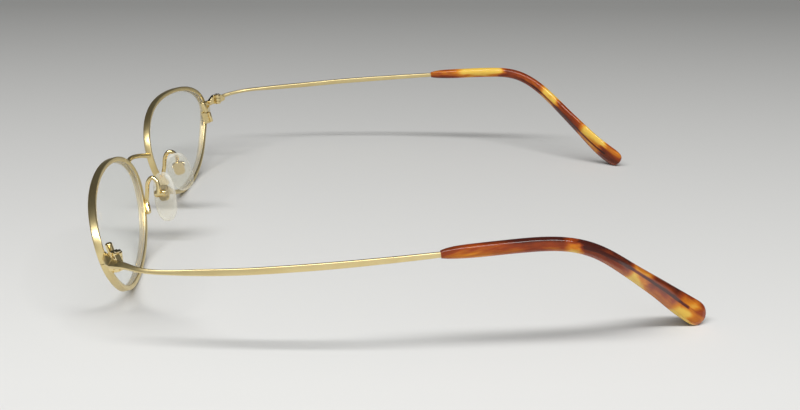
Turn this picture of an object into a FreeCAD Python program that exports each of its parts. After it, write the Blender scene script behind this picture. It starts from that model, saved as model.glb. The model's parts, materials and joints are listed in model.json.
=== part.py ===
"""Full-rim metal eyeglasses with a thin arched bridge, rocking nose pads and folding temples.

Millimetres.  +Z is up, the front faces -Y, the temples run towards +Y and the wearer's
left is +X.  Everything on one side is modelled on the left and mirrored for the right.
The model is drawn about the bridge, then moved so that its origin is on the surface it
rests on, under the middle of its box.
"""
import FreeCAD, Part
import os
from math import acos, copysign, cos, pi, radians, sin, sqrt, tan
from FreeCAD import Vector

# ---- driving dimensions -------------------------------------------------------------
BOX_MIDDLE_Y = 66.13         # middle of the whole model, measured back from the bridge

# lens shape: an oval with a fuller lower half, r = 1 + sum(c cos(n a) + s sin(n a))
LENS_HALF_WIDTH = 26.0
LENS_HALF_HEIGHT = 13.0
OVAL_TERMS = {2: (-0.05, 0.01), 3: (0.02, 0.05), 4: (0.0, 0.01)}
LENS_CENTRE_X = 32.6
LENS_CENTRE_Z = 14.50
BASE_CURVE_RADIUS = 125.0    # the lens and its rim lie on a sphere of this radius
FACE_WRAP = 5.4              # degrees, temporal side turned back
FACE_TILT = 13.0             # degrees, lower edge turned back
OVAL_STEPS = 40

RIM_WIDTH = 1.2              # across the band, in the plane of the lens
RIM_DEPTH = 1.8              # front to back
RIM_BEVEL = 0.2
GROOVE_HALF = 0.5
GROOVE_DEPTH = 0.45
RIM_SPLIT = 0.12             # gap where the rim is closed by its lock
LENS_THICKNESS = 1.5
LENS_GAP = 0.03              # between the lens edge and the rim

BRIDGE_RADIUS = 0.62
BRIDGE_ROOT = Vector(7.7, -0.9, 17.9)
BRIDGE_TOP = Vector(0.0, -3.9, 19.5)
BRIDGE_BOW = 1.8             # power of the bow, 2 is a parabola

# hinge: three barrels on a vertical screw
HINGE_X = 60.7
HINGE_Y = 8.8
BARREL_RADIUS = 1.0
BARREL_LEVELS = (17.4, 18.3, 19.2, 20.1)
BARREL_GAP = 0.05
HINGE_SCREW_RADIUS = 0.45
HINGE_HEAD_RADIUS = 0.75
HINGE_HEAD_HEIGHT = 0.3
RUNNING_FIT = 0.04           # radial clearance of a screw in the piece that turns on it
SWING_GAP = 0.12             # between a barrel and what swings past it
SLOT_WIDTH = 0.22
HINGE_PLATE_REACH = 3.2      # from the hinge axis to the thin end of a plate
HINGE_PLATE_SHOULDER = 1.3   # where a plate starts to taper
HINGE_PLATE_END = 0.9        # its height at the thin end
HINGE_PLATE_INNER = 0.15     # its faces, outwards from the axis
HINGE_PLATE_OUTER = 1.25
HINGE_PLATE_LEVEL = 18.2     # middle of the thin end

# end piece and temple: point, height, thickness and lean (degrees) of each section
END_PIECE = (
    (Vector(57.60, 4.90, 17.95), 1.7, 1.0, 10),
    (Vector(58.90, 5.70, 17.80), 1.9, 1.0, 22),
    (Vector(60.30, 6.65, 17.80), 2.3, 1.0, 36),
    (Vector(61.70, 7.70, 18.00), 2.3, 0.95, 45),
)
TEMPLE = (
    (Vector(61.75, 7.75, 18.00), 2.30, 0.95, 45),
    (Vector(62.90, 8.70, 18.30), 2.05, 0.95, 48),
    (Vector(64.10, 9.75, 18.65), 1.75, 0.95, 50),
    (Vector(65.56, 11.60, 19.02), 1.40, 0.90, 54),
    (Vector(67.76, 14.65, 19.30), 1.10, 0.85, 46),
    (Vector(69.00, 17.30, 19.50), 1.02, 0.85, 36),
    (Vector(69.86, 20.90, 19.70), 1.05, 0.80, 28),
    (Vector(70.51, 26.00, 20.02), 1.30, 0.80, 22),
    (Vector(71.34, 34.40, 20.60), 1.46, 0.80, 15),
    (Vector(71.96, 45.80, 21.64), 1.48, 0.80, 11),
    (Vector(71.81, 57.00, 22.63), 1.45, 0.80, 9),
    (Vector(71.23, 68.00, 23.64), 1.30, 0.80, 9),
    (Vector(70.47, 76.90, 24.46), 1.15, 0.80, 9),
    (Vector(69.75, 83.00, 25.01), 1.00, 0.80, 9),
)
# the moulded tip, and the core of the temple that runs inside it
TIP = (
    (Vector(70.45, 76.75, 24.46), 1.70, 1.45, 9),
    (Vector(70.38, 77.35, 24.54), 2.00, 1.75, 9),
    (Vector(70.22, 78.60, 24.68), 2.45, 2.10, 10),
    (Vector(70.00, 80.60, 24.85), 2.80, 2.30, 11),
    (Vector(69.75, 83.00, 25.01), 2.98, 2.40, 12),
    (Vector(69.09, 89.50, 25.52), 3.06, 2.50, 14),
    (Vector(68.50, 95.20, 25.88), 3.08, 2.50, 15),
    (Vector(68.09, 99.90, 25.92), 3.04, 2.50, 16),
    (Vector(67.47, 104.2, 25.27), 3.04, 2.50, 17),
    (Vector(66.02, 108.9, 23.27), 3.14, 2.50, 18),
    (Vector(63.74, 113.9, 19.70), 3.44, 2.45, 19),
    (Vector(60.18, 119.2, 15.06), 3.97, 2.40, 20),
    (Vector(56.54, 124.6, 10.30), 4.75, 2.40, 20),
    (Vector(54.00, 129.5, 6.05), 5.50, 2.40, 20),
    (Vector(52.90, 133.4, 3.15), 5.80, 2.30, 20),
)
TIP_END_REACH = 3.3          # length of the rounded end, past the last section
TIP_END_FULLNESS = 0.75      # power of its rounding, 1 is an ellipse
TIP_END_ANGLES = (8, 20, 35, 50, 65, 76, 84)
CORE_FIRST = 5               # sections of the tip whose middle the core follows
CORE_LAST = 13
CORE_HEIGHT = 1.0
CORE_THICKNESS = 0.8
OVAL_FLATNESS = 0.8          # power that fills out the oval section of the tip
STRIP_CORNER = 0.28          # share of the thickness taken by the rounded edges
CORE_FIT = 0.02              # the core lies in its bore with this gap all round

# rim lock behind the temporal corner; its axis is tilted like the rim
LOCK_TOP = Vector(54.7, 5.15, 19.5)
LOCK_AXIS = Vector(0, -sin(radians(FACE_TILT)), cos(radians(FACE_TILT)))
LOCK_LENGTH = 6.7
LOCK_SPLIT = 16.2            # level where its upper and lower halves meet
LOCK_BARREL_RADIUS = 0.8
LOCK_DOME = 0.45             # rounding of the barrel's top
LOCK_BLOCK = (2.0, 1.8)      # across and deep
LOCK_BLOCK_BACK = 0.7        # back of the block and middle of its post, from the axis
LOCK_POST_BACK = 0.95
LOCK_POST_RADIUS = 0.6
LOCK_ARM_END = 58.1          # both halves reach out to the rim by an arm
LOCK_ARM_FRONT = 5.75
LOCK_ARM_DEPTH = 1.0
LOCK_ARM_HEIGHTS = (1.2, 1.8)          # of the upper and the lower arm
LOCK_SCREW_RADIUS = 0.33
LOCK_SCREW_END = 1.1         # it stops this far below the top of the barrel
LOCK_HEAD_RADIUS = 0.52
LOCK_HEAD_HEIGHT = 0.3

# nose pad: its mount point is on the axis of its screw
PAD_MOUNT = Vector(10.7, 6.35, 14.1)
PAD_LONG_AXIS = Vector(-3.85, -1.71, 11.2)
PAD_SPLAY = 20.0             # degrees, front edges closer together
PAD_HEIGHT = 12.8
PAD_WIDTH = 6.4
PAD_THICKNESS = 2.2
PAD_ROUNDING = 0.85
PAD_FULLNESS = 2.5           # power of its outline, 2 is an ellipse
PAD_STEPS = 20
PAD_CENTRE_OUT = -1.75       # from the mount point, towards the nose
PAD_CENTRE_DOWN = -1.0
PAD_PLATE = (4.1, 2.9, 0.5)
PAD_PLATE_CORNER = 1.1
PAD_PLATE_RISE = 0.35        # from the middle of the pad towards its mount
PAD_RECESS_RADIUS = 1.9
PAD_RECESS_DEPTH = 0.35
PAD_EYE_RADIUS = 0.62
PAD_BOX_RADIUS = 0.95
PAD_BOX_WALL = 0.6
PAD_BOX_SPINE = 0.25         # thickness of the barrel's back, past the slot
PAD_LUG_WIDTH = 1.4
PAD_LUG_GAP = 0.12
PAD_SCREW_RADIUS = 0.34
PAD_SCREW_FOOT = 0.25        # how far the screw stands out of the front wall
PAD_HEAD_RADIUS = 0.72
PAD_HEAD_HEIGHT = 0.4
PAD_ARM_RADIUS = 0.55
FOOT_ANGLES = (211, 204, 198)          # along the rim, where the arm's foot is soldered
PAD_ARM_ROUTE = (Vector(9.75, 2.4, 12.6), Vector(10.05, 2.75, 14.8), Vector(10.1, 3.1, 16.8),
                 Vector(10.3, 4.3, 18.2), Vector(10.9, 5.5, 17.6))

UP = Vector(0, 0, 1)


# ---- shared helpers -----------------------------------------------------------------
def skin(rings, closed=False):
    """A solid lofted through a row of matching section polygons."""
    wires = [Part.makePolygon(list(ring) + [ring[0]]) for ring in rings]
    return Part.makeLoft(wires, True, False, closed)


def largest(shape):
    """The main solid of a shape whose cuts may leave slivers."""
    return max(shape.Solids, key=lambda solid: solid.Volume)


def cylinder(base, axis, radius, length):
    return Part.makeCylinder(radius, length, base, axis)


def box_along(centre, axes, sizes):
    """A box of the given sizes along three perpendicular axes, about its centre."""
    x_axis, y_axis, z_axis = axes
    placement = FreeCAD.Placement(FreeCAD.Matrix(
        x_axis.x, y_axis.x, z_axis.x, centre.x,
        x_axis.y, y_axis.y, z_axis.y, centre.y,
        x_axis.z, y_axis.z, z_axis.z, centre.z,
        0, 0, 0, 1))
    block = Part.makeBox(*sizes, Vector(*[-size / 2 for size in sizes]))
    block.Placement = placement
    return block


def slotted_screw(foot, axis, shank_radius, length, head_radius, head_height):
    """A screw whose shank ends at foot and whose slotted head is at the far end."""
    under_head = foot + axis * length
    screw = cylinder(foot, axis, shank_radius, length)
    head = cylinder(under_head, axis, head_radius, head_height)
    screw = screw.fuse(head).removeSplitter()
    across = axis.cross(Vector(0, 1, 0) if abs(axis.y) < 0.9 else UP).normalize()
    along = axis.cross(across)
    slot = box_along(under_head + axis * head_height, (across, along, axis),
                     (3 * head_radius, SLOT_WIDTH, head_height))
    return screw.cut(slot)


# ---- the oval of the lens and rim ---------------------------------------------------
def oval_point(angle, offset):
    """Point of the lens outline in the lens plane, moved outwards by offset."""
    def outline(a):
        radius = 1.0
        for n, (c, s) in OVAL_TERMS.items():
            radius += c * cos(n * a) + s * sin(n * a)
        return LENS_HALF_WIDTH * radius * cos(a), LENS_HALF_HEIGHT * radius * sin(a)

    step = 1e-4
    u, v = outline(angle)
    u_next, v_next = outline(angle + step)
    du, dv = u_next - u, v_next - v
    length = sqrt(du * du + dv * dv)
    return u + offset * dv / length, v - offset * du / length


def sphere_drop(u, v):
    """How far the lens surface has curved back at a point of its plane."""
    return BASE_CURVE_RADIUS - sqrt(BASE_CURVE_RADIUS ** 2 - u * u - v * v)


def lens_placement():
    """From the lens plane (x across, y back, z up) to the frame."""
    wrap = FreeCAD.Rotation(UP, FACE_WRAP)
    tilt = FreeCAD.Rotation(Vector(1, 0, 0), FACE_TILT)
    return FreeCAD.Placement(Vector(LENS_CENTRE_X, 0, LENS_CENTRE_Z), tilt * wrap)


def rim_point(angle, offset, depth):
    """Point at an angle round the rim: outwards by offset, back by depth."""
    u, v = oval_point(angle, offset)
    return lens_placement().multVec(Vector(u, sphere_drop(u, v) + depth, v))


def oval_ring(profile, angle):
    return [rim_point(angle, offset, depth) for offset, depth in profile]


def oval_angles():
    return [2 * pi * i / OVAL_STEPS for i in range(OVAL_STEPS)]


def eyewire():
    """The grooved band round the lens, split at the temporal corner."""
    w, d, e = RIM_WIDTH / 2, RIM_DEPTH / 2, RIM_BEVEL
    profile = [(w - e, -d), (w, e - d), (w, d - e), (w - e, d), (e - w, d), (-w, d - e),
               (-w, GROOVE_HALF), (GROOVE_DEPTH - w, 0), (-w, -GROOVE_HALF),
               (-w, e - d), (e - w, -d)]
    band = skin([oval_ring(profile, a) for a in oval_angles()], closed=True)
    gap = Part.makeBox(8, 8, RIM_SPLIT, Vector(LOCK_TOP.x, 2, LOCK_SPLIT - RIM_SPLIT / 2))
    return band.cut(gap)


def lens():
    """A plano lens with a V edge that sits in the groove of the rim."""
    inner = -RIM_WIDTH / 2 - LENS_GAP
    apex = inner + GROOVE_DEPTH
    half_v = GROOVE_HALF - LENS_GAP
    front, back = -4.0, 10.0
    rings = []
    for a in oval_angles():
        u, v = oval_point(a, inner)
        tip_u, tip_v = oval_point(a, apex)
        drop = sphere_drop(u, v)
        rings.append([Vector(u, front, v), Vector(u, drop - half_v, v),
                      Vector(tip_u, sphere_drop(tip_u, tip_v), tip_v),
                      Vector(u, drop + half_v, v), Vector(u, back, v)])
    plug = skin_plug(rings)
    centre = Vector(0, BASE_CURVE_RADIUS, 0)
    outer = Part.makeSphere(BASE_CURVE_RADIUS + LENS_THICKNESS / 2, centre)
    inner_ball = Part.makeSphere(BASE_CURVE_RADIUS - LENS_THICKNESS / 2, centre)
    solid = plug.common(outer).cut(inner_ball)
    solid.Placement = lens_placement()
    return solid


def skin_plug(rings):
    """Like skin for a closed outline, but as a plug with flat ends."""
    stations = [float(i) for i in range(len(rings) + 1)]
    edges = []
    for k in range(len(rings[0])):
        curve = Part.BSplineCurve()
        curve.interpolate(Points=[ring[k] for ring in rings], PeriodicFlag=True,
                          Parameters=stations)
        edges.append(curve.toShape())
    faces = [Part.makeRuledSurface(a, b) for a, b in zip(edges, edges[1:])]
    faces += [Part.Face(Part.Wire(edge)) for edge in (edges[0], edges[-1])]
    shell = Part.Shell(faces)
    shell.sewShape()
    solid = Part.Solid(shell)
    if solid.Volume < 0:
        solid.reverse()
    return solid


# ---- wires and strips ---------------------------------------------------------------
def corner_arc(before, corner, after, share=0.45):
    """Start, middle and end of the arc that rounds one corner of a wire's route."""
    back, ahead = before - corner, after - corner
    reach = share * min(back.Length, ahead.Length)
    back.normalize()
    ahead.normalize()
    half_turn = acos(-back.dot(ahead)) / 2
    radius = reach / tan(half_turn)
    inwards = (back + ahead).normalize()
    middle = corner + inwards * (radius / cos(half_turn) - radius)
    return corner + back * reach, middle, corner + ahead * reach


def wire(points, radius):
    """A round wire along straight runs joined by tangent arcs."""
    edges = []
    last = points[0]
    for before, corner, after in zip(points, points[1:], points[2:]):
        start, middle, end = corner_arc(before, corner, after)
        edges.append(Part.LineSegment(last, start).toShape())
        edges.append(Part.Arc(start, middle, end).toShape())
        last = end
    edges.append(Part.LineSegment(last, points[-1]).toShape())
    circle = Part.Wire(Part.makeCircle(radius, points[0], points[1] - points[0]))
    return Part.Wire(edges).makePipeShell([circle], True, False)


def section_axes(tangent, lean):
    """Axes of a strip's section: its height axis leans outwards at the bottom."""
    outward = Vector(tangent.y, -tangent.x, 0).normalize()
    raised = outward.cross(tangent).normalize()
    angle = radians(lean)
    height = raised * cos(angle) - outward * sin(angle)
    across = outward * cos(angle) + raised * sin(angle)
    return height, across


def strip_ring(centre, tangent, height, thickness, lean, corner):
    """An eight-sided section: a flat strip with rounded edges."""
    up_axis, across = section_axes(tangent, lean)
    h, w = height / 2, thickness / 2
    e = corner * thickness
    corners = ((w, e - h), (w, h - e), (w - e, h), (e - w, h),
               (-w, h - e), (-w, e - h), (e - w, -h), (w - e, -h))
    return [centre + across * a + up_axis * b for a, b in corners]


def oval_ring_at(centre, tangent, height, thickness, lean, sides=14):
    """A flattened oval section."""
    up_axis, across = section_axes(tangent, lean)
    ring = []
    for k in range(sides):
        a = 2 * pi * k / sides
        flat = copysign(abs(sin(a)) ** OVAL_FLATNESS, sin(a))
        ring.append(centre + across * (thickness / 2 * cos(a)) + up_axis * (height / 2 * flat))
    return ring


def tangents(points):
    curve = Part.BSplineCurve()
    curve.interpolate(Points=points, Parameters=[float(i) for i in range(len(points))])
    return [Vector(*curve.tangent(float(i))[0]) for i in range(len(points))]


def strip(sections, corner=STRIP_CORNER):
    ways = tangents([s[0] for s in sections])
    return skin([strip_ring(p, way, h, t, lean, corner)
                 for (p, h, t, lean), way in zip(sections, ways)])


# ---- front: end piece, hinge and lock -----------------------------------------------
def barrel(level, radius=BARREL_RADIUS, grow=0.0):
    low, high = BARREL_LEVELS[level], BARREL_LEVELS[level + 1]
    gap = BARREL_GAP / 2 if grow == 0.0 else -BARREL_GAP / 2
    low += gap if level > 0 else -grow
    high -= gap if level < 2 else -grow
    return cylinder(Vector(HINGE_X, HINGE_Y, low), UP, radius + grow, high - low)


def hinge_bore(clearance):
    base = Vector(HINGE_X, HINGE_Y, BARREL_LEVELS[0] - 1)
    return cylinder(base, UP, HINGE_SCREW_RADIUS + clearance, 6)


def end_piece(rim, glass):
    """From the rim to the hinge, hollowed where the middle barrel turns."""
    block = strip(END_PIECE).cut(rim).cut(glass).cut(barrel(1, grow=SWING_GAP))
    return largest(block.cut(front_hinge()).cut(hinge_bore(0)))


def hinge_axes(sections):
    """Level directions along and out from the last or first stretch of a strip."""
    along = sections[1][0] - sections[0][0]
    along = Vector(along.x, along.y, 0).normalize()
    return along, Vector(along.y, -along.x, 0)


def hinge_plate(outline, along, outward):
    """A plate whose outline is given by distances along the strip and heights."""
    base = Vector(HINGE_X, HINGE_Y, 0) + outward * HINGE_PLATE_INNER
    points = [base + along * reach + UP * height for reach, height in outline]
    face = Part.Face(Part.makePolygon(points + points[:1]))
    return face.extrude(outward * (HINGE_PLATE_OUTER - HINGE_PLATE_INNER))


def plate_end(reach):
    half = HINGE_PLATE_END / 2
    return [(reach, HINGE_PLATE_LEVEL - half), (reach, HINGE_PLATE_LEVEL + half)]


def front_hinge():
    """The two outer barrels of the hinge and the tapered plate that joins them."""
    along, outward = hinge_axes(END_PIECE[-2:])
    low, high = BARREL_LEVELS[0], BARREL_LEVELS[3]
    outline = ([(-HINGE_PLATE_INNER, low), (-HINGE_PLATE_SHOULDER, low)]
               + plate_end(-HINGE_PLATE_REACH)
               + [(-HINGE_PLATE_SHOULDER, high), (-HINGE_PLATE_INNER, high)])
    solid = hinge_plate(outline, along, outward).cut(barrel(1, grow=SWING_GAP))
    for level in (0, 2):
        solid = solid.fuse(barrel(level))
    return solid.removeSplitter().cut(hinge_bore(0))


def temple_hinge():
    """The middle barrel of the hinge, and its plate, full height past the other barrels."""
    along, outward = hinge_axes(TEMPLE[:2])
    low, high = BARREL_LEVELS[0], BARREL_LEVELS[3]
    neck_low, neck_high = BARREL_LEVELS[1] + BARREL_GAP / 2, BARREL_LEVELS[2] - BARREL_GAP / 2
    outline = ([(HINGE_PLATE_INNER, neck_low), (HINGE_PLATE_SHOULDER, neck_low),
                (HINGE_PLATE_SHOULDER, low)]
               + plate_end(HINGE_PLATE_REACH)
               + [(HINGE_PLATE_SHOULDER, high), (HINGE_PLATE_SHOULDER, neck_high),
                  (HINGE_PLATE_INNER, neck_high)])
    solid = barrel(1).fuse(hinge_plate(outline, along, outward)).removeSplitter()
    return solid.cut(hinge_bore(RUNNING_FIT))


def hinge_screw():
    """From the foot of the lower barrel to a slotted head on the upper one."""
    foot = Vector(HINGE_X, HINGE_Y, BARREL_LEVELS[0])
    return slotted_screw(foot, UP, HINGE_SCREW_RADIUS, BARREL_LEVELS[3] - BARREL_LEVELS[0],
                         HINGE_HEAD_RADIUS, HINGE_HEAD_HEIGHT)


def lock_bore():
    return cylinder(LOCK_TOP - LOCK_AXIS * (LOCK_LENGTH + 1), LOCK_AXIS, LOCK_SCREW_RADIUS,
                    LOCK_LENGTH + 1 - LOCK_SCREW_END)


def lock_half(body, arm_height, upper, neighbours):
    """One half of the lock with its arm to the rim, on its own side of the split."""
    size = 2 * LOCK_LENGTH
    level = LOCK_SPLIT + (RIM_SPLIT / 2 if upper else -RIM_SPLIT / 2)
    low = level if upper else level - arm_height
    arm = Part.makeBox(LOCK_ARM_END - LOCK_TOP.x, LOCK_ARM_DEPTH, arm_height,
                       Vector(LOCK_TOP.x, LOCK_ARM_FRONT, low))
    other_side = Part.makeBox(size, size, size, Vector(
        LOCK_TOP.x - LOCK_LENGTH, LOCK_TOP.y - LOCK_LENGTH, level - size if upper else level))
    half = body.cut(other_side).fuse(arm).removeSplitter().cut(lock_bore())
    for neighbour in neighbours:
        half = half.cut(neighbour)
    return largest(half)


def lock_upper(neighbours):
    """Domed barrel behind the upper end of the rim."""
    body = cylinder(LOCK_TOP - LOCK_AXIS * LOCK_LENGTH, LOCK_AXIS, LOCK_BARREL_RADIUS, LOCK_LENGTH)
    circles = [edge for edge in body.Edges if edge.Closed]
    top = max(circles, key=lambda edge: edge.CenterOfMass.z)
    return lock_half(body.makeFillet(LOCK_DOME, [top]), LOCK_ARM_HEIGHTS[0], True, neighbours)


def lock_lower(neighbours):
    """Block behind the lower end of the rim, with a round post along its back."""
    foot = LOCK_TOP - LOCK_AXIS * LOCK_LENGTH
    across = Vector(1, 0, 0)
    back = LOCK_AXIS.cross(across)
    width, depth = LOCK_BLOCK
    middle = foot + LOCK_AXIS * (LOCK_LENGTH / 2) + back * (LOCK_BLOCK_BACK - depth / 2)
    block = box_along(middle, (across, back, LOCK_AXIS), (width, depth, LOCK_LENGTH))
    post = cylinder(foot + back * LOCK_POST_BACK, LOCK_AXIS, LOCK_POST_RADIUS, LOCK_LENGTH)
    return lock_half(block.fuse(post), LOCK_ARM_HEIGHTS[1], False, neighbours)


def lock_screw():
    """Driven up from under the block into the domed barrel."""
    return slotted_screw(LOCK_TOP - LOCK_AXIS * LOCK_SCREW_END, LOCK_AXIS * -1, LOCK_SCREW_RADIUS,
                         LOCK_LENGTH - LOCK_SCREW_END, LOCK_HEAD_RADIUS, LOCK_HEAD_HEIGHT)


# ---- bridge -------------------------------------------------------------------------
def bridge(rims):
    """A round wire that bows forwards and up between the two rims."""
    points = []
    for i in range(-6, 7):
        share = i / 6
        rise = abs(share) ** BRIDGE_BOW
        points.append(Vector(share * BRIDGE_ROOT.x,
                             BRIDGE_TOP.y + (BRIDGE_ROOT.y - BRIDGE_TOP.y) * rise,
                             BRIDGE_TOP.z + (BRIDGE_ROOT.z - BRIDGE_TOP.z) * rise))
    solid = wire(points, BRIDGE_RADIUS)
    for rim in rims:
        solid = solid.cut(rim)
    return largest(solid)


# ---- nose pads ----------------------------------------------------------------------
def pad_axes():
    """Axes of the pad: up its length, back across it, and out from the nose."""
    up_axis = Vector(PAD_LONG_AXIS).normalize()
    back = Vector(sin(radians(PAD_SPLAY)), cos(radians(PAD_SPLAY)), 0)
    back = (back - up_axis * back.dot(up_axis)).normalize()
    out = back.cross(up_axis).normalize()
    return up_axis, back, out


def pad_point(up_shift, back_shift, out_shift):
    up_axis, back, out = pad_axes()
    return PAD_MOUNT + up_axis * up_shift + back * back_shift + out * out_shift


def pad_plate_and_lug():
    """Metal plate moulded into the pad, and the lug that the screw passes through."""
    up_axis, back, out = pad_axes()
    axes = (up_axis, back, out)
    plate_out = PAD_CENTRE_OUT + PAD_PLATE_RISE
    plate = box_along(pad_point(0, 0, plate_out), axes, PAD_PLATE)
    sides = [edge for edge in plate.Edges if abs(edge.Length - PAD_PLATE[2]) < 0.01]
    plate = plate.makeFillet(PAD_PLATE_CORNER, sides)
    lug = box_along(pad_point(0, 0, plate_out / 2), axes,
                    (2 * PAD_EYE_RADIUS, PAD_LUG_WIDTH, -plate_out))
    eye = cylinder(pad_point(0, -PAD_LUG_WIDTH / 2, 0), back, PAD_EYE_RADIUS, PAD_LUG_WIDTH)
    solid = plate.fuse(lug).fuse(eye).removeSplitter()
    return solid.cut(cylinder(pad_point(0, -3, 0), back, PAD_SCREW_RADIUS + RUNNING_FIT, 6))


def nose_pad(plate):
    """Soft pad, a full oval, with a shallow recess round its mount."""
    up_axis, back, out = pad_axes()
    centre = pad_point(PAD_CENTRE_DOWN, 0, PAD_CENTRE_OUT - PAD_THICKNESS / 2)
    points = []
    for i in range(PAD_STEPS):
        a = 2 * pi * (i + 0.5) / PAD_STEPS
        up_share = copysign(abs(sin(a)) ** (2 / PAD_FULLNESS), sin(a))
        back_share = copysign(abs(cos(a)) ** (2 / PAD_FULLNESS), cos(a))
        points.append(centre + up_axis * (PAD_HEIGHT / 2 * up_share)
                      + back * (PAD_WIDTH / 2 * back_share))
    outline = Part.BSplineCurve()
    outline.interpolate(Points=points, PeriodicFlag=True)
    body = Part.Face(Part.Wire(outline.toShape())).extrude(out * PAD_THICKNESS)
    body = body.makeFillet(PAD_ROUNDING, body.Edges)
    face_out = PAD_CENTRE_OUT + PAD_THICKNESS / 2
    recess = cylinder(pad_point(0, 0, face_out - PAD_RECESS_DEPTH), out, PAD_RECESS_RADIUS,
                      PAD_THICKNESS)
    return body.cut(recess).cut(plate)


def pad_box():
    """Round barrel with a slot through it, whose two walls hold the pad's lug."""
    axes = pad_axes()
    inner = PAD_LUG_WIDTH + 2 * PAD_LUG_GAP
    half = inner / 2 + PAD_BOX_WALL
    body = cylinder(pad_point(0, -half, 0), axes[1], PAD_BOX_RADIUS, 2 * half)
    slot = box_along(pad_point(0, 0, -PAD_BOX_SPINE), axes,
                     (3 * PAD_BOX_RADIUS, inner, 2 * PAD_BOX_RADIUS))
    bore = cylinder(pad_point(0, -2 * half, 0), axes[1], PAD_SCREW_RADIUS, 4 * half)
    return body.cut(slot).cut(bore)


def pad_screw():
    """From the front of the box to its slotted head at the back."""
    back = pad_axes()[1]
    half = (PAD_LUG_WIDTH + 2 * PAD_LUG_GAP) / 2 + PAD_BOX_WALL
    foot = pad_point(0, -half - PAD_SCREW_FOOT, 0)
    return slotted_screw(foot, back, PAD_SCREW_RADIUS, 2 * half + PAD_SCREW_FOOT,
                         PAD_HEAD_RADIUS, PAD_HEAD_HEIGHT)


def pad_arm(rim, box):
    """Wire from a foot soldered behind the rim, over a crest and down to the box."""
    foot = [rim_point(radians(a), 0.25, RIM_DEPTH / 2 + PAD_ARM_RADIUS * 0.75)
            for a in FOOT_ANGLES]
    end = pad_point(0, 0, PAD_BOX_RADIUS + PAD_ARM_RADIUS * 0.8)
    points = foot + list(PAD_ARM_ROUTE) + [end]
    solid = wire(points, PAD_ARM_RADIUS).cut(rim).cut(box)
    return largest(solid)


# ---- temple and tip -----------------------------------------------------------------
def core_sections():
    """The strip narrows into a core that follows the middle of the tip."""
    sections = list(TEMPLE)
    for point, _, _, lean in TIP[CORE_FIRST:CORE_LAST + 1]:
        sections.append((point, CORE_HEIGHT, CORE_THICKNESS, lean))
    return sections


def temple_bar():
    """Flat strip from the hinge, narrowing to the core inside the tip."""
    bar = strip(core_sections())
    for level in (0, 2):
        bar = bar.cut(barrel(level, grow=SWING_GAP))
    return largest(bar.cut(temple_hinge()).cut(hinge_bore(SWING_GAP)))


def temple_tip():
    """Moulded tip with a bore that fits the core."""
    points = [s[0] for s in TIP]
    ways = tangents(points)
    rings = [oval_ring_at(p, way, h, t, lean) for (p, h, t, lean), way in zip(TIP, ways)]
    last_point, height, thickness, lean = TIP[-1]
    for degrees in TIP_END_ANGLES:
        reach = sin(radians(degrees)) ** TIP_END_FULLNESS
        scale = cos(radians(degrees)) ** TIP_END_FULLNESS
        rings.append(oval_ring_at(last_point + ways[-1] * (TIP_END_REACH * reach), ways[-1],
                                  height * scale, thickness * (1 + scale) / 2, lean))
    body = skin(rings)
    sections = [(p, h + 2 * CORE_FIT, t + 2 * CORE_FIT, lean)
                for p, h, t, lean in core_sections()]
    return body.cut(strip(sections))


# ---- assembly -----------------------------------------------------------------------
def left_side():
    rim = eyewire()
    glass = lens()
    end = end_piece(rim, glass)
    box = pad_box()
    plate = pad_plate_and_lug()
    return {
        "eyewire": rim,
        "lens": glass,
        "end_piece": end,
        "front_hinge": front_hinge(),
        "temple_hinge": temple_hinge(),
        "hinge_screw": hinge_screw(),
        "lock_upper": lock_upper([rim, glass, end]),
        "lock_lower": lock_lower([rim, glass]),
        "lock_screw": lock_screw(),
        "pad_arm": pad_arm(rim, box),
        "pad_box": box,
        "pad_screw": pad_screw(),
        "pad_plate": plate,
        "nose_pad": nose_pad(plate),
        "temple_bar": temple_bar(),
        "temple_tip": temple_tip(),
    }


def build():
    parts = {}
    for name, shape in left_side().items():
        parts[name + "_left"] = shape
        parts[name + "_right"] = shape.mirror(Vector(0, 0, 0), Vector(1, 0, 0))
    parts["bridge"] = bridge([parts["eyewire_left"], parts["eyewire_right"]])
    return parts


os.makedirs("parts", exist_ok=True)
for node, shape in build().items():
    shape.translate(Vector(0, -BOX_MIDDLE_Y, 0))
    bounds = shape.BoundBox
    print(f"{node:20s} solids {len(shape.Solids)} valid {shape.isValid()} "
          f"volume {shape.Volume:8.2f} x {bounds.XMin:7.2f} {bounds.XMax:7.2f} "
          f"y {bounds.YMin:7.2f} {bounds.YMax:7.2f} z {bounds.ZMin:6.2f} {bounds.ZMax:6.2f}")
    shape.exportStep(f"parts/{node}.step")
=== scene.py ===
"""Looks of the full-rim metal eyeglasses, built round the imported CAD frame.

Shapes are drawn in millimetres about the bridge, as the CAD is, and PLACE moves them into
the frame.  The left side is drawn and the right side is its mirror image.
"""

import json
from math import copysign, cos, pi, radians, sin, sqrt

import bpy
import numpy as np
from mathutils import Matrix, Vector

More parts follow.
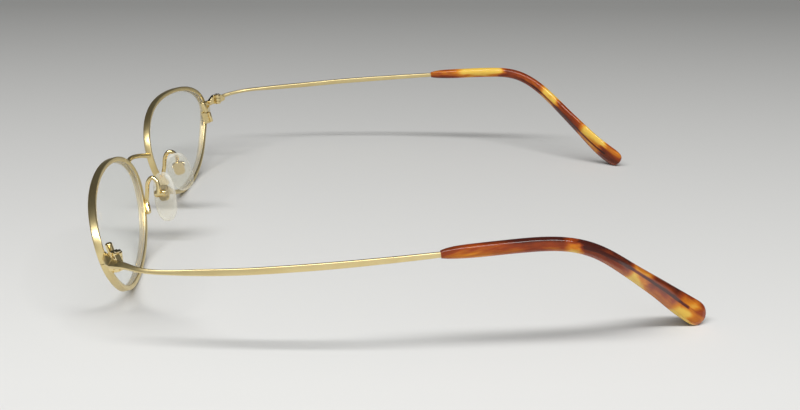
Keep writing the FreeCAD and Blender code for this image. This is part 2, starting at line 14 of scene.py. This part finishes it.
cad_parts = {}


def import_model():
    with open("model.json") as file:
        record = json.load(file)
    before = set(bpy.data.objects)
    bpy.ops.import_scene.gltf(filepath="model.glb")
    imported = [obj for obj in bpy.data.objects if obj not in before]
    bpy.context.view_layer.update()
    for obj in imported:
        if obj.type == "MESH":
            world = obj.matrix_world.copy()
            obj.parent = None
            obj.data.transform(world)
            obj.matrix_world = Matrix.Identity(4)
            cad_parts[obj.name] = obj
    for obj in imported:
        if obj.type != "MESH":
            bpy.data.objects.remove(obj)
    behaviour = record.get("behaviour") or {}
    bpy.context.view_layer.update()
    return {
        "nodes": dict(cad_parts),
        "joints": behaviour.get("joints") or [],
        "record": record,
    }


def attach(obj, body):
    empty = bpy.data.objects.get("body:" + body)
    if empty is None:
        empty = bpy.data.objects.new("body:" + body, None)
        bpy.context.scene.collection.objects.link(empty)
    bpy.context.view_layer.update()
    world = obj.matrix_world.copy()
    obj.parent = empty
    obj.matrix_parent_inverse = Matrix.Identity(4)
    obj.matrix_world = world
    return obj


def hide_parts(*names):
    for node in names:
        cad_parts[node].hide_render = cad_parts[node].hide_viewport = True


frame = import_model()

# ---- driving dimensions, millimetres -----------------------------------------------
MM = 0.001
HINGE_Y = 8.8
PLACE_Y = frame["joints"][0]["pos_m"][1] / MM - HINGE_Y      # bridge datum to the frame

LENS_HALF_WIDTH = 26.0
LENS_HALF_HEIGHT = 13.0
OVAL_TERMS = {2: (-0.05, 0.01), 3: (0.02, 0.05), 4: (0.0, 0.01)}
LENS_CENTRE = Vector((32.6, 0.0, 14.50))
BASE_CURVE_RADIUS = 125.0
FACE_WRAP = 5.4
FACE_TILT = 13.0
RIM_WIDTH = 1.2
RIM_DEPTH = 1.8
RIM_EDGE = 0.28
GROOVE_HALF = 0.5
GROOVE_DEPTH = 0.45
RIM_SPLIT = 0.12
LOCK_SPLIT = 16.2
RIM_STATIONS = 220
LENS_THICKNESS = 1.5
EDGE_START = 0.991           # share of the lens where its ground edge starts to show
LENS_GAP = 0.03

BRIDGE_RADIUS = 0.59
BRIDGE_ROOT = Vector((7.7, -0.9, 17.9))
BRIDGE_TOP = Vector((0.0, -3.9, 19.5))
BRIDGE_BOW = 1.8

# x, y, z, height, thickness and lean (degrees) of each section
TEMPLE = (
    (61.75, 7.75, 18.00, 2.30, 0.85, 45), (62.90, 8.70, 18.30, 2.05, 0.87, 48),
    (64.10, 9.75, 18.65, 1.75, 0.95, 50), (65.56, 11.60, 19.02, 1.40, 0.90, 54),
    (67.76, 14.65, 19.30, 1.10, 0.85, 46), (69.00, 17.30, 19.50, 1.02, 0.85, 36),
    (69.86, 20.90, 19.70, 1.05, 0.80, 28), (70.51, 26.00, 20.02, 1.30, 0.80, 22),
    (71.34, 34.40, 20.60, 1.46, 0.80, 15), (71.96, 45.80, 21.64, 1.48, 0.80, 11),
    (71.81, 57.00, 22.63, 1.45, 0.80, 9), (71.23, 68.00, 23.64, 1.30, 0.80, 9),
    (70.47, 76.90, 24.46, 1.15, 0.80, 9), (69.75, 83.00, 25.01, 1.00, 0.80, 9),
)
TIP = (
    (70.45, 76.75, 24.46, 1.70, 1.45, 9), (70.38, 77.35, 24.54, 2.00, 1.75, 9),
    (70.22, 78.60, 24.68, 2.45, 2.10, 10), (70.00, 80.60, 24.85, 2.80, 2.30, 11),
    (69.75, 83.00, 25.01, 2.98, 2.40, 12), (69.09, 89.50, 25.52, 3.06, 2.50, 14),
    (68.50, 95.20, 25.88, 3.08, 2.50, 15), (68.09, 99.90, 25.92, 3.04, 2.50, 16),
    (67.47, 104.20, 25.27, 3.04, 2.50, 17), (66.02, 108.90, 23.27, 3.14, 2.50, 18),
    (63.74, 113.90, 19.70, 3.44, 2.45, 19), (60.18, 119.20, 15.06, 3.97, 2.40, 20),
    (56.54, 124.60, 10.30, 4.75, 2.40, 20), (54.00, 129.50, 6.05, 5.50, 2.40, 20),
    (52.90, 133.40, 3.15, 5.80, 2.30, 20),
)
CORE_FIRST = 5               # sections of the tip whose middle the core follows
CORE_LAST = 13
CORE_HEIGHT = 1.0
CORE_THICKNESS = 0.8
END_REACH = 3.3              # length of the tip's rounded end
END_FULLNESS = 0.75          # power of its rounding, 1 is an ellipse
END_ANGLE = 84.0             # degrees, where that end is closed
TIP_FLATNESS = 0.8           # power that fills out the oval section of the tip
TIP_LOWERING = 0.968         # the tip is drawn a touch lower, to stay in its solid's box
TIP_LENGTH = 75.0            # along the tip, as far as its bands are laid out
CORE_SHOWS = 27.0            # along the tip, where its core starts to show through
CORE_CLEAR = 35.0            # and where it shows fully
CORE_ENDS = 65.0
CORE_FADE = 0.6
CORE_LINE = (0.2, 0.42)      # half height of the core's line, sharp and blurred
CORE_SHADE = 0.55            # how much darker the line is
BAND_WAVER = 6.0             # how far streaks shift the edges of the bands, mm

PAD_MOUNT = Vector((10.7, 6.35, 14.1))
PAD_LONG_AXIS = Vector((-3.85, -1.71, 11.2))
PAD_SPLAY = 20.0
PAD_HEIGHT = 12.8
PAD_WIDTH = 6.4
PAD_THICKNESS = 2.2
PAD_FULLNESS = 2.5           # power of the pad's outline, 2 is an ellipse
PAD_CENTRE_OUT = -1.75
PAD_CENTRE_DOWN = -1.0
PAD_RECESS_RADIUS = 1.9      # the box sits in a shallow recess in the pad's back
PAD_RECESS_SLOPE = 0.8
PAD_RECESS_DEPTH = 0.42
PAD_EDGE_HAZE = 0.6          # the thick edge of the pad is milkier than its faces
PAD_BOX_RADIUS = 0.95
PAD_ARM_RADIUS = 0.55
SOLDER_SWELL = 0.28          # how much the arm's foot is thickened by its solder
SOLDER_STEPS = 20
FOOT_ANGLES = (211, 204, 198)
PAD_ARM_ROUTE = (Vector((9.75, 2.4, 12.6)), Vector((10.05, 2.75, 14.8)),
                 Vector((10.1, 3.1, 16.8)), Vector((10.3, 4.3, 18.2)),
                 Vector((10.9, 5.5, 17.6)))
SIDES = ("left", "right")


# ---- stage: metres in the frame, and greys from 0 to 1 ------------------------------
FLOOR_SPAN = (-0.307, 0.08)
FLOOR_DARK = (0.355, 0.355, 0.345)
FLOOR_PALE = (0.695, 0.695, 0.68)
ROOM_TONES = ((0.0, 0.07), (0.3, 0.04), (0.5, 0.12), (0.75, 0.48), (1.0, 0.9))
ROOM_SPAN = (-0.9, 0.1)
ROOM_STRENGTHS = (0.35, 1.05)
LAMP_PLACE = (0.33, -0.06, 0.75)
LAMP_TARGET = (0.07, -0.06, 0.0)
LAMP_SIZE = (1.25, 0.13)
LAMP_POWER = 8.6
CAMERA_PLACE = (0.26427, (71.04 + PLACE_Y) * MM, 0.11206)
CAMERA_RIGHT = Vector((-0.0160, 0.99987, 0.00105))
CAMERA_UPWARD = Vector((-0.36918, -0.00689, 0.92933))
CAMERA_BACKWARD = Vector((0.92922, 0.01449, 0.36924))


# ---- mesh helpers -------------------------------------------------------------------
def finished(name, mesh, side, body, node, material, sharp=35.0):
    """A piece from a mesh in millimetres, mirrored for the right side and put in the frame."""
    flip = -1 if side == "right" else 1
    mesh.transform(Matrix.Translation((0, PLACE_Y * MM, 0)) @ Matrix.Diagonal((flip * MM, MM, MM, 1)))
    if flip < 0:
        mesh.flip_normals()
    mesh.shade_smooth()
    mesh.set_sharp_from_angle(angle=radians(sharp))
    piece = bpy.data.objects.new(name, mesh)
    bpy.context.scene.collection.objects.link(piece)
    mesh.materials.append(material)
    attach(piece, body)
    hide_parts(node)
    return piece


def skin(rings, closed=False):
    """A closed mesh through a row of matching rings of points."""
    size = len(rings[0])
    points = [tuple(p) for ring in rings for p in ring]
    faces = []
    last = len(rings) if closed else len(rings) - 1
    for i in range(last):
        a, b = i * size, (i + 1) % len(rings) * size
        faces += [(a + k, a + (k + 1) % size, b + (k + 1) % size, b + k) for k in range(size)]
    if not closed:
        faces.append(tuple(reversed(range(size))))
        faces.append(tuple(range(len(points) - size, len(points))))
    mesh = bpy.data.meshes.new("skin")
    mesh.from_pydata(points, [], faces)
    return mesh


def rounded(value, power):
    """A power that keeps the sign."""
    return copysign(abs(value) ** power, value)


def smooth_rows(rows, steps):
    """A natural cubic spline through rows of numbers, whose first three are a point."""
    rows = np.array(rows, float)
    gaps = np.linalg.norm(np.diff(rows[:, :3], axis=0), axis=1)
    count = len(rows)
    system = np.eye(count)
    right = np.zeros_like(rows)
    for i in range(1, count - 1):
        before, after = gaps[i - 1], gaps[i]
        system[i, i - 1:i + 2] = before, 2 * (before + after), after
        right[i] = 6 * ((rows[i + 1] - rows[i]) / after - (rows[i] - rows[i - 1]) / before)
    bends = np.linalg.solve(system, right)
    result = []
    for i, gap in enumerate(gaps):
        for k in range(steps):
            b = k / steps
            a = 1 - b
            bow = (a ** 3 - a) * bends[i] + (b ** 3 - b) * bends[i + 1]
            result.append(a * rows[i] + b * rows[i + 1] + gap * gap / 6 * bow)
    return np.array(result + [rows[-1]])


def directions(points):
    """Unit tangents along a row of points."""
    ways = np.gradient(np.array(points, float), axis=0)
    return [Vector(way).normalized() for way in ways]


def section_axes(tangent, lean):
    """Axes of a strip's section: its height axis leans outwards at the bottom."""
    outward = Vector((tangent.y, -tangent.x, 0)).normalized()
    raised = outward.cross(tangent).normalized()
    angle = radians(lean)
    return raised * cos(angle) - outward * sin(angle), outward * cos(angle) + raised * sin(angle)


def rounded_rectangle(width, height, corner, steps=4):
    """Points round a rectangle with round corners, anticlockwise."""
    ring = []
    for quarter in range(4):
        side_x = (1, -1, -1, 1)[quarter]
        side_y = (1, 1, -1, -1)[quarter]
        for k in range(steps + 1):
            a = (quarter + k / steps) * pi / 2
            ring.append((side_x * (width / 2 - corner) + corner * cos(a),
                         side_y * (height / 2 - corner) + corner * sin(a)))
    return ring


def strip_rings(rows, corner_share):
    """Rings of a flat strip with rounded edges."""
    rings = []
    for row, way in zip(rows, directions(rows[:, :3])):
        up_axis, across = section_axes(way, row[5])
        corner = corner_share * min(row[4], row[3])
        rings.append([Vector(row[:3]) + across * a + up_axis * b
                      for a, b in rounded_rectangle(row[4], row[3], corner)])
    return rings


def tube_rings(points, radii, sides=20):
    """Rings of a round wire, carried along without twist."""
    ways = directions(points)
    normal = ways[0].orthogonal().normalized()
    rings = []
    for point, way, radius in zip(points, ways, radii):
        normal = (normal - way * normal.dot(way)).normalized()
        side = way.cross(normal)
        rings.append([Vector(point) + (normal * cos(a) + side * sin(a)) * radius
                      for a in (2 * pi * k / sides for k in range(sides))])
    return rings


# ---- rim and lens -------------------------------------------------------------------
def oval_point(angle, offset):
    """Point of the lens outline in the lens plane, moved outwards by offset."""
    def outline(a):
        radius = 1.0
        for n, (c, s) in OVAL_TERMS.items():
            radius += c * cos(n * a) + s * sin(n * a)
        return LENS_HALF_WIDTH * radius * cos(a), LENS_HALF_HEIGHT * radius * sin(a)

    step = 1e-4
    u, v = outline(angle)
    u_next, v_next = outline(angle + step)
    du, dv = u_next - u, v_next - v
    length = sqrt(du * du + dv * dv)
    return u + offset * dv / length, v - offset * du / length


def sphere_drop(u, v):
    return BASE_CURVE_RADIUS - sqrt(BASE_CURVE_RADIUS ** 2 - u * u - v * v)


def lens_frame():
    wrap = Matrix.Rotation(radians(FACE_WRAP), 4, "Z")
    tilt = Matrix.Rotation(radians(FACE_TILT), 4, "X")
    return Matrix.Translation(LENS_CENTRE) @ tilt @ wrap


def rim_point(angle, offset, depth):
    u, v = oval_point(angle, offset)
    return lens_frame() @ Vector((u, sphere_drop(u, v) + depth, v))


def rim_profile():
    """The band's section, outwards and back: rounded outside, grooved inside."""
    half = RIM_WIDTH / 2
    ring = rounded_rectangle(RIM_WIDTH, RIM_DEPTH, RIM_EDGE)
    middle = len(ring) // 2
    groove = [(-half, GROOVE_HALF), (GROOVE_DEPTH - half, 0), (-half, -GROOVE_HALF)]
    return ring[:middle] + groove + ring[middle:]


def split_angle():
    """Angle round the rim where its two ends meet at the lock."""
    angles = [radians(a / 20) for a in range(0, 900)]
    return min(angles, key=lambda a: abs(rim_point(a, 0, 0).z - LOCK_SPLIT))


def rim_mesh():
    start = split_angle()
    half_gap = RIM_SPLIT / 2 / LENS_HALF_HEIGHT
    span = 2 * pi - 2 * half_gap
    angles = [start + half_gap + span * i / RIM_STATIONS for i in range(RIM_STATIONS + 1)]
    profile = rim_profile()
    return skin([[rim_point(a, out, back) for out, back in profile] for a in angles])


def lens_mesh(around=120, across=14):
    """Two spherical faces and a V edge, as a closed skin through nested ovals."""
    inner = -RIM_WIDTH / 2 - LENS_GAP
    half_v = GROOVE_HALF - LENS_GAP
    angles = [2 * pi * i / around for i in range(around)]
    place = lens_frame()

    def ring(share, offset, depth):
        points = []
        for a in angles:
            u, v = oval_point(a, offset)
            points.append(place @ Vector((u * share, sphere_drop(u * share, v * share) + depth, v * share)))
        return points

    shares = [sin(pi / 2 * (k + 0.2) / across) for k in range(across)] + [EDGE_START, 1.0]
    front = [ring(s, inner, -LENS_THICKNESS / 2) for s in shares]
    edge = [ring(1, inner, -half_v), ring(1, inner + GROOVE_DEPTH, 0), ring(1, inner, half_v)]
    back = [ring(s, inner, LENS_THICKNESS / 2) for s in reversed(shares)]
    haze = [0.0] * (across + 1) + [1.0] * 5 + [0.0] * (across + 1)
    mesh = skin(front + edge + back)
    layer = mesh.attributes.new("haze", "FLOAT", "POINT")
    layer.data.foreach_set("value", np.repeat(np.array(haze, np.float32), around))
    return mesh


# ---- bridge, temples and tips -------------------------------------------------------
def bridge_mesh():
    points, radii = [], []
    steps = 60
    for i in range(-steps, steps + 1):
        share = i / steps
        rise = abs(share) ** BRIDGE_BOW
        points.append((share * BRIDGE_ROOT.x,
                       BRIDGE_TOP.y + (BRIDGE_ROOT.y - BRIDGE_TOP.y) * rise,
                       BRIDGE_TOP.z + (BRIDGE_ROOT.z - BRIDGE_TOP.z) * rise))
        radii.append(BRIDGE_RADIUS * (1 + 0.25 * abs(share) ** 12))
    return skin(tube_rings(points, radii))


def core_rows():
    core = [row[:3] + (CORE_HEIGHT, CORE_THICKNESS, row[5]) for row in TIP[CORE_FIRST:CORE_LAST + 1]]
    return smooth_rows(TEMPLE + tuple(core), 8)


def temple_mesh():
    return skin(strip_rings(core_rows(), 0.3))


def tip_mesh():
    """Moulded tip: a flattened oval along its curve, with a rounded end.

    The attribute "grain" tells the material where it is: along the tip, across and up, in mm.
    """
    rows = list(smooth_rows(TIP, 8))
    last, way = Vector(rows[-1][:3]), directions([row[:3] for row in rows])[-1]
    _, _, _, height, thickness, lean = TIP[-1]
    steps = 14
    for k in range(1, steps + 1):
        a = radians(END_ANGLE) * k / steps
        point = last + way * (END_REACH * sin(a) ** END_FULLNESS)
        scale = cos(a) ** END_FULLNESS
        rows.append(np.array([*point, height * scale, thickness * (1 + scale) / 2, lean]))
    rows = np.array(rows)
    rows[:, 3] *= TIP_LOWERING
    lengths = np.concatenate(([0], np.cumsum(np.linalg.norm(np.diff(rows[:, :3], axis=0), axis=1))))
    rings, grain = [], []
    sides = 32
    for row, way, length in zip(rows, directions(rows[:, :3]), lengths):
        up_axis, across = section_axes(way, row[5])
        for k in range(sides):
            a = 2 * pi * k / sides
            grain.append((length, row[4] / 2 * cos(a), row[3] / 2 * rounded(sin(a), TIP_FLATNESS)))
        rings.append([Vector(row[:3]) + across * x + up_axis * y for _, x, y in grain[-sides:]])
    mesh = skin(rings)
    layer = mesh.attributes.new("grain", "FLOAT_VECTOR", "POINT")
    layer.data.foreach_set("vector", np.array(grain, np.float32).ravel())
    return mesh


# ---- nose pads ----------------------------------------------------------------------
def pad_axes():
    up_axis = PAD_LONG_AXIS.normalized()
    back = Vector((sin(radians(PAD_SPLAY)), cos(radians(PAD_SPLAY)), 0))
    back = (back - up_axis * back.dot(up_axis)).normalized()
    return up_axis, back, back.cross(up_axis).normalized()


def pad_point(up_shift, back_shift, out_shift):
    up_axis, back, out = pad_axes()
    return PAD_MOUNT + up_axis * up_shift + back * back_shift + out * out_shift


def pad_mesh():
    """A soft full oval of silicone, with a well rounded edge and a recess round its mount."""
    around, across = 72, 24
    power = 2 / PAD_FULLNESS
    rings, haze = [], []
    for k in range(2 * across + 1):
        a = -pi / 2 + pi * (k + 0.15) / (2 * across + 0.3)
        share = cos(a) ** 0.5
        level = sin(a) * (PAD_THICKNESS / 2)
        ring = []
        for i in range(around):
            b = 2 * pi * i / around
            up_shift = PAD_HEIGHT / 2 * rounded(cos(b), power) * share
            back_shift = -PAD_WIDTH / 2 * rounded(sin(b), power) * share
            distance = sqrt((PAD_CENTRE_DOWN + up_shift) ** 2 + back_shift ** 2)
            near = min(max(1 - (distance - PAD_RECESS_RADIUS) / PAD_RECESS_SLOPE, 0), 1)
            out_shift = min(level, PAD_THICKNESS / 2 - PAD_RECESS_DEPTH * near)
            ring.append(pad_point(PAD_CENTRE_DOWN + up_shift, back_shift, PAD_CENTRE_OUT + out_shift))
        rings.append(ring)
        haze.append(PAD_EDGE_HAZE * cos(a) ** 6)
    mesh = skin(rings)
    layer = mesh.attributes.new("haze", "FLOAT", "POINT")
    layer.data.foreach_set("value", np.repeat(np.array(haze, np.float32), around))
    return mesh


def pad_arm_mesh():
    foot = [rim_point(radians(a), 0.25, RIM_DEPTH / 2 + PAD_ARM_RADIUS * 0.75) for a in FOOT_ANGLES]
    end = pad_point(0, 0, PAD_BOX_RADIUS + PAD_ARM_RADIUS * 0.8)
    points = smooth_rows([tuple(p) for p in foot + list(PAD_ARM_ROUTE) + [end]], 8)
    radii = []
    for k in range(len(points)):
        solder = SOLDER_SWELL * cos(pi / 2 * min(k / SOLDER_STEPS, 1))
        start = sin(pi / 2 * min((k + 0.6) / 3, 1))
        radii.append((PAD_ARM_RADIUS + solder) * start)
    return skin(tube_rings(points, radii))


# ---- materials ----------------------------------------------------------------------
def new_material(name):
    material = bpy.data.materials.new(name)
    material.use_nodes = True
    return material, material.node_tree.nodes["Principled BSDF"]


def node(material, kind, **values):
    """A new node, with its inputs or properties set by name."""
    made = material.node_tree.nodes.new(kind)
    for key, value in values.items():
        if key in made.inputs:
            made.inputs[key].default_value = value
        else:
            setattr(made, key, value)
    return made


def link(material, start, end):
    material.node_tree.links.new(start, end)


def ramp(material, source, stops):
    """The colour, blended between stops, that belongs to a value."""
    made = node(material, "ShaderNodeValToRGB")
    elements = made.color_ramp.elements
    while len(elements) < len(stops):
        elements.new(0.5)
    for element, (place, colour) in zip(elements, stops):
        element.position = place
        element.color = (*colour, 1)
    link(material, source, made.inputs["Fac"])
    return made.outputs["Color"]


def grey(stops):
    """The stops of a ramp of greys."""
    return [(place, (shade,) * 3) for place, shade in stops]


def mapped(material, source, start, end, low=0.0, high=1.0):
    """A value taken from the range start to end into the range low to high, and kept in it."""
    made = node(material, "ShaderNodeMapRange")
    made.inputs["From Min"].default_value = start
    made.inputs["From Max"].default_value = end
    made.inputs["To Min"].default_value = low
    made.inputs["To Max"].default_value = high
    link(material, source, made.inputs["Value"])
    return made.outputs["Result"]


def reckoned(material, operation, *terms):
    """The result of a Math node whose terms are numbers or other nodes' outputs."""
    made = node(material, "ShaderNodeMath", operation=operation)
    for socket, term in zip(made.inputs, terms):
        if isinstance(term, float):
            socket.default_value = term
        else:
            link(material, term, socket)
    return made.outputs["Value"]


def axis_values(material, source):
    """The X, Y and Z outputs of a vector."""
    made = node(material, "ShaderNodeSeparateXYZ")
    link(material, source, made.inputs["Vector"])
    return made.outputs


def gold(name, bright, dull, roughness, grain):
    """Gold plate: a fine grain in its tone, gloss and surface."""
    material, shader = new_material(name)
    shader.inputs["Metallic"].default_value = 1.0
    place = node(material, "ShaderNodeTexCoord")
    fine = node(material, "ShaderNodeTexNoise", Scale=3200.0, Detail=3.0)
    broad = node(material, "ShaderNodeTexNoise", Scale=260.0, Detail=2.0)
    for texture in (fine, broad):
        link(material, place.outputs["Object"], texture.inputs["Vector"])
    tone = ramp(material, broad.outputs["Fac"], [(0.35, dull), (0.65, bright)])
    link(material, tone, shader.inputs["Base Color"])
    gloss = mapped(material, fine.outputs["Fac"], 0.0, 1.0, roughness * 0.8, roughness * 1.25)
    link(material, gloss, shader.inputs["Roughness"])
    bump = node(material, "ShaderNodeBump", Strength=grain, Distance=0.00002)
    link(material, fine.outputs["Fac"], bump.inputs["Height"])
    link(material, bump.outputs["Normal"], shader.inputs["Normal"])
    return material


def see_through(name, clear_colour, share, edge_share, colour, roughness, ior):
    """Clear plastic or silicone: mostly transparent, with a share of soft gloss and haze.

    The share grows to edge_share where the attribute "haze" is 1.
    """
    material, shader = new_material(name)
    shader.inputs["Base Color"].default_value = (*colour, 1)
    shader.inputs["Roughness"].default_value = roughness
    shader.inputs["IOR"].default_value = ior
    clear = node(material, "ShaderNodeBsdfTransparent", Color=(*clear_colour, 1))
    haze = node(material, "ShaderNodeAttribute", attribute_name="haze")
    mix = node(material, "ShaderNodeMixShader")
    link(material, mapped(material, haze.outputs["Fac"], 0.0, 1.0, share, edge_share), mix.inputs["Fac"])
    link(material, clear.outputs["BSDF"], mix.inputs[1])
    link(material, shader.outputs["BSDF"], mix.inputs[2])
    link(material, mix.outputs["Shader"], material.node_tree.nodes["Material Output"].inputs["Surface"])
    return material


def core_line(material, along, height):
    """Shade of the temple's core, a dark line along the middle of the tip's faces."""
    line = mapped(material, reckoned(material, "ABSOLUTE", height), *CORE_LINE, CORE_SHADE, 0.0)
    share = reckoned(material, "DIVIDE", along, TIP_LENGTH)
    reach = ramp(material, share, grey([(CORE_SHOWS / TIP_LENGTH, 0.0), (CORE_CLEAR / TIP_LENGTH, 1.0),
                                        (CORE_ENDS / TIP_LENGTH, 1.0),
                                        ((CORE_ENDS + CORE_FADE) / TIP_LENGTH, 0.0)]))
    return line, reach


def tortoise(name, bands, seed, painted_top_shade):
    """Polished acetate: bands of honey and dark brown, broken up by streaks.

    Each band is its start along the tip in mm and its darkness, from honey at 0 to dark at 1.
    The upper edge is darker by the last argument for each mm above the middle, and lighter where that is
    negative: painted shade and painted light for how light falls on the top of the tip.
    """
    material, shader = new_material(name)
    shader.inputs["Roughness"].default_value = 0.09
    shader.inputs["IOR"].default_value = 1.34
    shader.inputs["Transmission Weight"].default_value = 0.05
    shader.inputs["Subsurface Weight"].default_value = 0.15
    shader.inputs["Subsurface Radius"].default_value = (1.0, 0.35, 0.1)
    shader.inputs["Subsurface Scale"].default_value = 0.0012

    grain = node(material, "ShaderNodeAttribute", attribute_name="grain").outputs["Vector"]
    stretched = node(material, "ShaderNodeMapping", Location=(seed, seed * 0.7, 0), Scale=(0.11, 0.42, 0.42))
    link(material, grain, stretched.inputs["Vector"])
    noise = node(material, "ShaderNodeTexNoise", Scale=1.0, Detail=3.0, Distortion=0.5)
    link(material, stretched.outputs["Vector"], noise.inputs["Vector"])
    streak = noise.outputs["Fac"]
    parts = axis_values(material, grain)
    along, height = parts["X"], parts["Z"]

    wavering = reckoned(material, "MULTIPLY_ADD", streak, BAND_WAVER, along)
    place = mapped(material, wavering, BAND_WAVER / 2, BAND_WAVER / 2 + TIP_LENGTH)
    band = ramp(material, place, grey([(start / TIP_LENGTH, dark) for start, dark in bands]))
    spread = mapped(material, streak, 0.3, 0.7, -0.25, 0.25)
    streaked = reckoned(material, "ADD", band, spread)
    # Painted shade along the tip's upper edge, and painted light there where the factor is negative.
    with_painted_shade = reckoned(material, "MULTIPLY_ADD", height, painted_top_shade, streaked)
    total = reckoned(material, "MULTIPLY_ADD", *core_line(material, along, height), with_painted_shade)
    colours = ramp(material, total, [(0.05, (0.74, 0.48, 0.075)), (0.28, (0.58, 0.185, 0.010)),
                                     (0.55, (0.27, 0.042, 0.006)), (0.9, (0.055, 0.010, 0.006))])
    link(material, colours, shader.inputs["Base Color"])
    return material


def floor_material():
    """Matt paper, painted paler on the side the light comes from."""
    material, shader = new_material("floor_paper")
    place = node(material, "ShaderNodeTexCoord")
    across = mapped(material, axis_values(material, place.outputs["Object"])["X"], *FLOOR_SPAN)
    link(material, ramp(material, across, [(0.0, FLOOR_DARK), (1.0, FLOOR_PALE)]),
         shader.inputs["Base Color"])
    shader.inputs["Roughness"].default_value = 0.85
    return material


# ---- stage --------------------------------------------------------------------------
def floor():
    half = 3.0
    mesh = bpy.data.meshes.new("floor")
    corners = [(-half, -half, 0), (half, -half, 0), (half, half, 0), (-half, half, 0)]
    mesh.from_pydata(corners, [], [(0, 1, 2, 3)])
    plane = bpy.data.objects.new("floor", mesh)
    mesh.materials.append(floor_material())
    bpy.context.scene.collection.objects.link(plane)


def lamp(name, place, size, power, target):
    light = bpy.data.lights.new(name, "AREA")
    light.shape = "RECTANGLE"
    light.size, light.size_y = size
    light.energy = power
    lamp_object = bpy.data.objects.new(name, light)
    lamp_object.location = place
    lamp_object.rotation_euler = (Vector(target) - Vector(place)).to_track_quat("-Z", "Y").to_euler()
    bpy.context.scene.collection.objects.link(lamp_object)


def world():
    """Soft room light: bright beside the left temple, dark above, beyond and in front."""
    made = bpy.data.worlds.new("studio")
    bpy.context.scene.world = made
    made.use_nodes = True
    background = made.node_tree.nodes["Background"]
    place = node(made, "ShaderNodeTexCoord")
    axes = axis_values(made, place.outputs["Generated"])
    tone = ramp(made, mapped(made, axes["X"], -1.0, 1.0), grey(ROOM_TONES))
    link(made, tone, background.inputs["Color"])
    strength = mapped(made, axes["Y"], *ROOM_SPAN, *ROOM_STRENGTHS)
    link(made, strength, background.inputs["Strength"])


def camera():
    """Beside the left temple, a little above it, looking across to the right one."""
    data = bpy.data.cameras.new("camera")
    data.lens = 47.75
    data.sensor_width = 36.0
    data.shift_x = 0.0036
    data.clip_start = 0.01
    made = bpy.data.objects.new("camera", data)
    turn = Matrix((CAMERA_RIGHT, CAMERA_UPWARD, CAMERA_BACKWARD)).transposed().to_4x4()
    made.matrix_world = Matrix.Translation(CAMERA_PLACE) @ turn
    bpy.context.scene.collection.objects.link(made)
    bpy.context.scene.camera = made


# ---- assembly -----------------------------------------------------------------------
satin = gold("satin_gold", (0.80, 0.66, 0.34), (0.76, 0.61, 0.30), 0.35, 0.25)
polished = gold("polished_gold", (0.86, 0.71, 0.38), (0.82, 0.66, 0.34), 0.17, 0.08)
screw_metal = gold("screw_gold", (0.86, 0.74, 0.50), (0.81, 0.69, 0.45), 0.12, 0.05)
clear = see_through("clear_plastic", (0.985, 0.99, 0.985), 0.05, 0.32, (0.78, 0.79, 0.77), 0.12, 1.3)
silicone = see_through("clear_silicone", (0.96, 0.95, 0.91), 0.17, 0.6, (0.88, 0.87, 0.80), 0.14, 1.41)
# The last number in each call sets the painted shade along the tip's upper edge; a negative one paints that
# edge lighter.
acetate = {
    "left": tortoise("tortoise_left", [(0, 0.65), (3, 0.52), (15, 0.52), (18, 0.75), (24.5, 0.7),
                                       (26, 0.35), (28, 0.35), (29.5, 0.78), (41.5, 0.78), (44, 0.15),
                                       (49.5, 0.2), (52, 0.66), (60.5, 0.62), (63, 0.25), (66, 0.25),
                                       (68, 0.52)], 0.0, 0.15),
    "right": tortoise("tortoise_right", [(0, 0.6), (8, 0.45), (11, 0.15), (22, 0.2), (25, 0.65),
                                         (36, 0.65), (38, 0.15), (43, 0.15), (45, 0.65), (54, 0.62),
                                         (56, 0.12), (63, 0.15), (65, 0.6)], 3.1, -0.08),
}

SLOT_MATERIALS = {"gold_satin": satin, "gold_polished": polished, "screw_steel": screw_metal}


def dress_node(piece, material):
    """A carried-over metal part: rounded edges and its own finish."""
    piece.data.materials.clear()
    piece.data.materials.append(material)
    weld = piece.modifiers.new("weld", "WELD")
    weld.merge_threshold = 1e-6
    edges = piece.modifiers.new("edges", "BEVEL")
    edges.limit_method = "ANGLE"
    edges.angle_limit = radians(40)
    edges.width = 0.07 * MM
    edges.segments = 2
    edges.use_clamp_overlap = True


for side in SIDES:
    finished(f"rim_{side}", rim_mesh(), side, "front", f"eyewire_{side}", satin)
    finished(f"clear_lens_{side}", lens_mesh(), side, "front", f"lens_{side}", clear)
    finished(f"temple_strip_{side}", temple_mesh(), side, f"temple_{side}", f"temple_bar_{side}",
             satin)
    finished(f"moulded_tip_{side}", tip_mesh(), side, f"temple_{side}", f"temple_tip_{side}",
             acetate[side])
    finished(f"soft_pad_{side}", pad_mesh(), side, f"nose_pad_{side}_body", f"nose_pad_{side}",
             silicone)
    finished(f"pad_wire_{side}", pad_arm_mesh(), side, "front", f"pad_arm_{side}",
             polished)
finished("bridge_wire", bridge_mesh(), "left", "front", "bridge", satin)

slots = {part["node"]: part["material_slot"] for part in frame["record"]["subparts"]}
for name, piece in frame["nodes"].items():
    if slots[name] in SLOT_MATERIALS and not piece.hide_render:
        dress_node(piece, SLOT_MATERIALS[slots[name]])

floor()
world()
lamp("tube_lamp", LAMP_PLACE, LAMP_SIZE, LAMP_POWER, LAMP_TARGET)
camera()
bpy.context.scene.view_settings.view_transform = "Standard"
